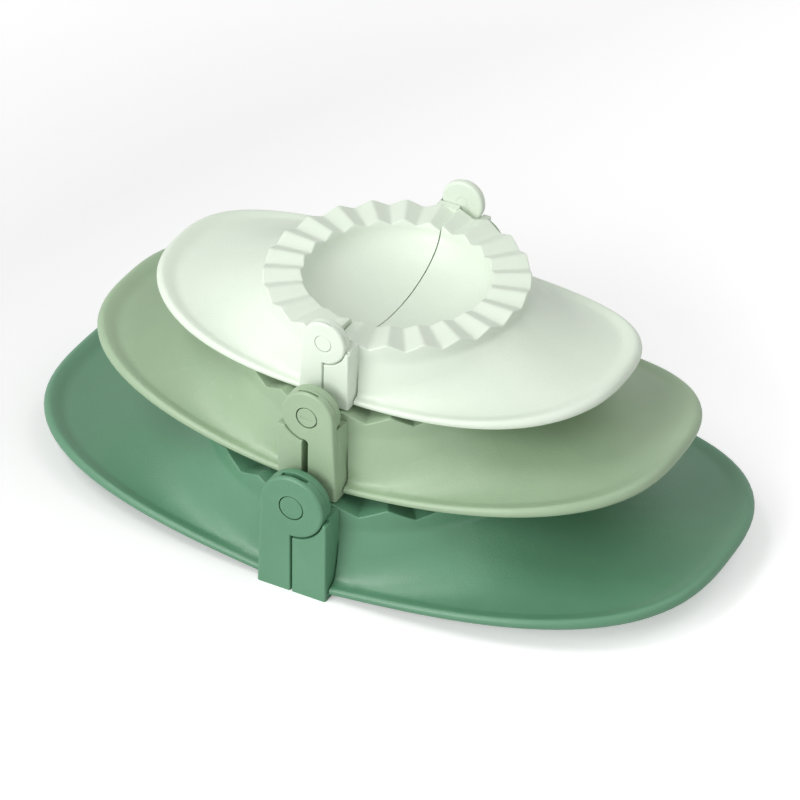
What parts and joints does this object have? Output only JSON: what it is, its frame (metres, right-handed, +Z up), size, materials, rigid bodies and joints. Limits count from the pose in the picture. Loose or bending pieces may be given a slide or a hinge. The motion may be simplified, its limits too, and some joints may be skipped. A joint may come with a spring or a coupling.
{
  "type": "empanada press set",
  "caption": "Nested set of folding dough presses: moulded halves with a round bowl, a zigzag crimping rim and dished wings, hinged on snap-in pins.",
  "frame": {"origin": "on the surface that the set stands on, midway between the wing tips and between the hinges", "axes": "+X along the wings towards the half with the inner knuckle of the large press, +Y along the hinge line towards the rear hinges, +Z up"},
  "size_m": [0.2266, 0.1296, 0.0847],
  "materials": {
    "dark_green_plastic": "fine satin grain",
    "sage_green_plastic": "fine satin grain",
    "pale_green_plastic": "fine satin grain"
  },
  "bodies": {
    "large_leaf": {"large_leaf_half": "dark_green_plastic", "large_front_pin": "dark_green_plastic", "large_rear_pin": "dark_green_plastic"},
    "large_knuckle": {"large_knuckle_half": "dark_green_plastic"},
    "medium_leaf": {"medium_leaf_half": "sage_green_plastic", "medium_front_pin": "sage_green_plastic", "medium_rear_pin": "sage_green_plastic"},
    "medium_knuckle": {"medium_knuckle_half": "sage_green_plastic"},
    "small_leaf": {"small_leaf_half": "pale_green_plastic", "small_front_pin": "pale_green_plastic", "small_rear_pin": "pale_green_plastic"},
    "small_knuckle": {"small_knuckle_half": "pale_green_plastic"}
  },
  "joints": [
    {"name": "large_fold", "type": "hinge", "parent": "large_leaf", "child": "large_knuckle", "pos_m": [0, 0, 0.0306], "axis": [0, -1, 0], "range_deg": [0, 180]},
    {"name": "medium_lift", "type": "slide", "parent": "large_leaf", "child": "medium_leaf", "axis": [0, 0, 1], "range_m": [0, 0.38]},
    {"name": "medium_fold", "type": "hinge", "parent": "medium_leaf", "child": "medium_knuckle", "pos_m": [0, 0, 0.0573], "axis": [0, 1, 0], "range_deg": [0, 180]},
    {"name": "small_lift", "type": "slide", "parent": "medium_leaf", "child": "small_leaf", "axis": [0, 0, 1], "range_m": [0, 0.32]},
    {"name": "small_fold", "type": "hinge", "parent": "small_leaf", "child": "small_knuckle", "pos_m": [0, 0, 0.0777], "axis": [0, -1, 0], "range_deg": [0, 180]}
  ],
  "couplings": [
    {"joint": "medium_lift", "follows": "large_fold", "m_per_rad": 0.12},
    {"joint": "small_lift", "follows": "medium_fold", "m_per_rad": 0.1}
  ]
}
